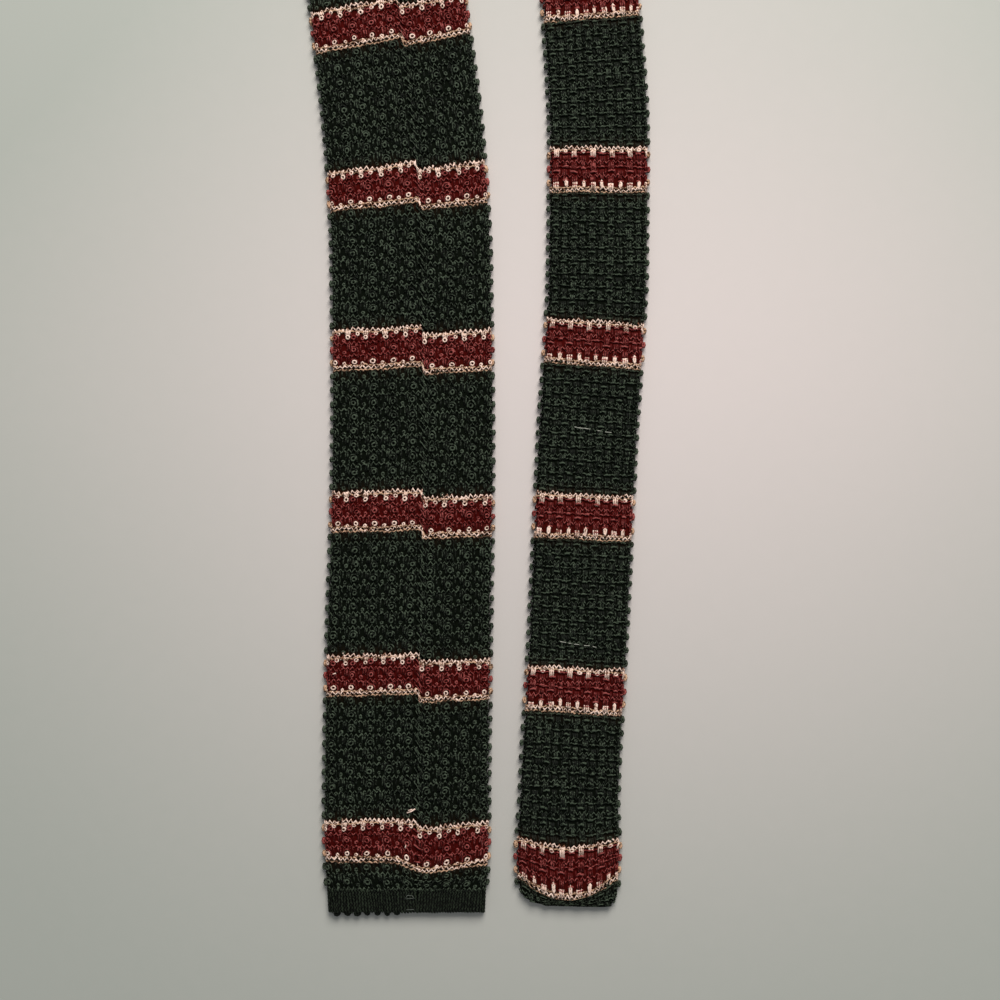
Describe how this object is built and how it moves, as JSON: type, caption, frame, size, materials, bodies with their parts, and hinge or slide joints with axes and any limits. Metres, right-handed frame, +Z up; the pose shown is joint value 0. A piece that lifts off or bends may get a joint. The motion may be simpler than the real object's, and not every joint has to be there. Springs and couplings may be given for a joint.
{
  "type": "knit tie",
  "caption": "Square-ended knitted tie folded double at the neck and lying flat, dark green with red stripes between cream rows.",
  "frame": {"origin": "on the floor, under the middle of the tie's box", "axes": "+Y from the two ends to the fold at the neck, +X from the wide leg to the narrow leg, +Z up"},
  "size_m": [0.1364, 0.712, 0.0102],
  "materials": {
    "ground_yarn": "dark green silk yarn in a tuck knit, soft sheen",
    "stripe_yarn": "dark red silk yarn between two cream rows, tuck knit, soft sheen",
    "hem_yarn": "dark green yarn in a fine plain rib, matt"
  },
  "bodies": {
    "root": {"blade_ground_1": "ground_yarn", "blade_ground_2": "ground_yarn", "blade_ground_3": "ground_yarn", "blade_ground_4": "ground_yarn", "blade_ground_5": "ground_yarn", "blade_ground_6": "ground_yarn", "blade_ground_7": "ground_yarn", "blade_ground_8": "ground_yarn", "blade_hem": "hem_yarn", "blade_stripe_1": "stripe_yarn", "blade_stripe_2": "stripe_yarn", "blade_stripe_3": "stripe_yarn", "blade_stripe_4": "stripe_yarn", "blade_stripe_5": "stripe_yarn", "blade_stripe_6": "stripe_yarn", "blade_stripe_7": "stripe_yarn", "blade_stripe_8": "stripe_yarn", "neck_fold": "ground_yarn", "neck_ground_1": "ground_yarn", "neck_ground_2": "ground_yarn", "neck_ground_3": "ground_yarn", "neck_ground_4": "ground_yarn", "neck_ground_5": "ground_yarn", "neck_ground_6": "ground_yarn", "neck_stripe_1": "stripe_yarn", "neck_stripe_2": "stripe_yarn", "neck_stripe_3": "stripe_yarn", "neck_stripe_4": "stripe_yarn", "neck_stripe_5": "stripe_yarn", "neck_stripe_6": "stripe_yarn", "tail_ground_1": "ground_yarn", "tail_ground_2": "ground_yarn", "tail_ground_3": "ground_yarn", "tail_ground_4": "ground_yarn", "tail_ground_5": "ground_yarn", "tail_ground_6": "ground_yarn", "tail_ground_7": "ground_yarn", "tail_hem": "hem_yarn", "tail_stripe_1": "stripe_yarn", "tail_stripe_2": "stripe_yarn", "tail_stripe_3": "stripe_yarn", "tail_stripe_4": "stripe_yarn", "tail_stripe_5": "stripe_yarn", "tail_stripe_6": "stripe_yarn", "tail_stripe_7": "stripe_yarn", "tail_stripe_8": "stripe_yarn"}
  },
  "joints": []
}
